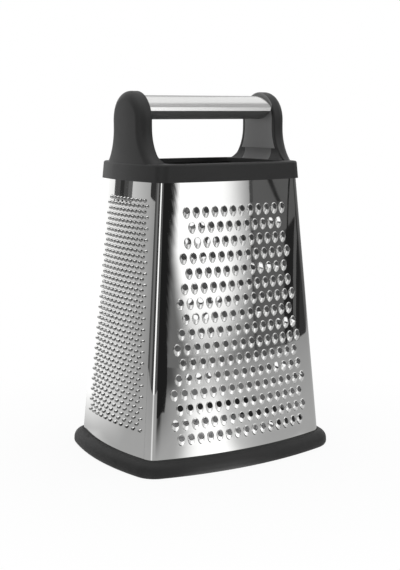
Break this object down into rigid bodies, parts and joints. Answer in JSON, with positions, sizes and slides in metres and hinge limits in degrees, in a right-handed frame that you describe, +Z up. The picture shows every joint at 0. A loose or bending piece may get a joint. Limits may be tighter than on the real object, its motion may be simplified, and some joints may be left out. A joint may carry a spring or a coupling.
{
  "type": "box grater",
  "caption": "Four-sided box grater: bowed, tapered stainless panels with raised teeth, black collar with two uprights, satin steel handle bar and soft non-slip base ring.",
  "frame": {"origin": "on the floor, under the middle of the body", "axes": "+Z up, +X along the front panel to its right, the front panel with the medium teeth looks to -Y"},
  "size_m": [0.1696, 0.135, 0.254],
  "materials": {
    "polished_stainless": "bright polished sheet",
    "satin_stainless": "fine satin brushed along the bar",
    "soft_touch_plastic": "soft-touch matt black",
    "moulded_plastic": "plain moulded black",
    "foot_rubber": "matt black soft rubber",
    "screw_steel": "zinc-plated steel"
  },
  "bodies": {
    "root": {"front_panel": "polished_stainless", "back_panel": "polished_stainless", "left_panel": "polished_stainless", "right_panel": "polished_stainless", "handle_frame": "soft_touch_plastic", "left_upright_cover": "soft_touch_plastic", "right_upright_cover": "soft_touch_plastic", "handle_bar_core": "soft_touch_plastic", "handle_bar_shell": "satin_stainless", "handle_tie_screws": "screw_steel", "top_clamp_frame": "moulded_plastic", "top_clamp_screws": "screw_steel", "base_frame": "moulded_plastic", "base_foot_ring": "foot_rubber"}
  },
  "joints": []
}
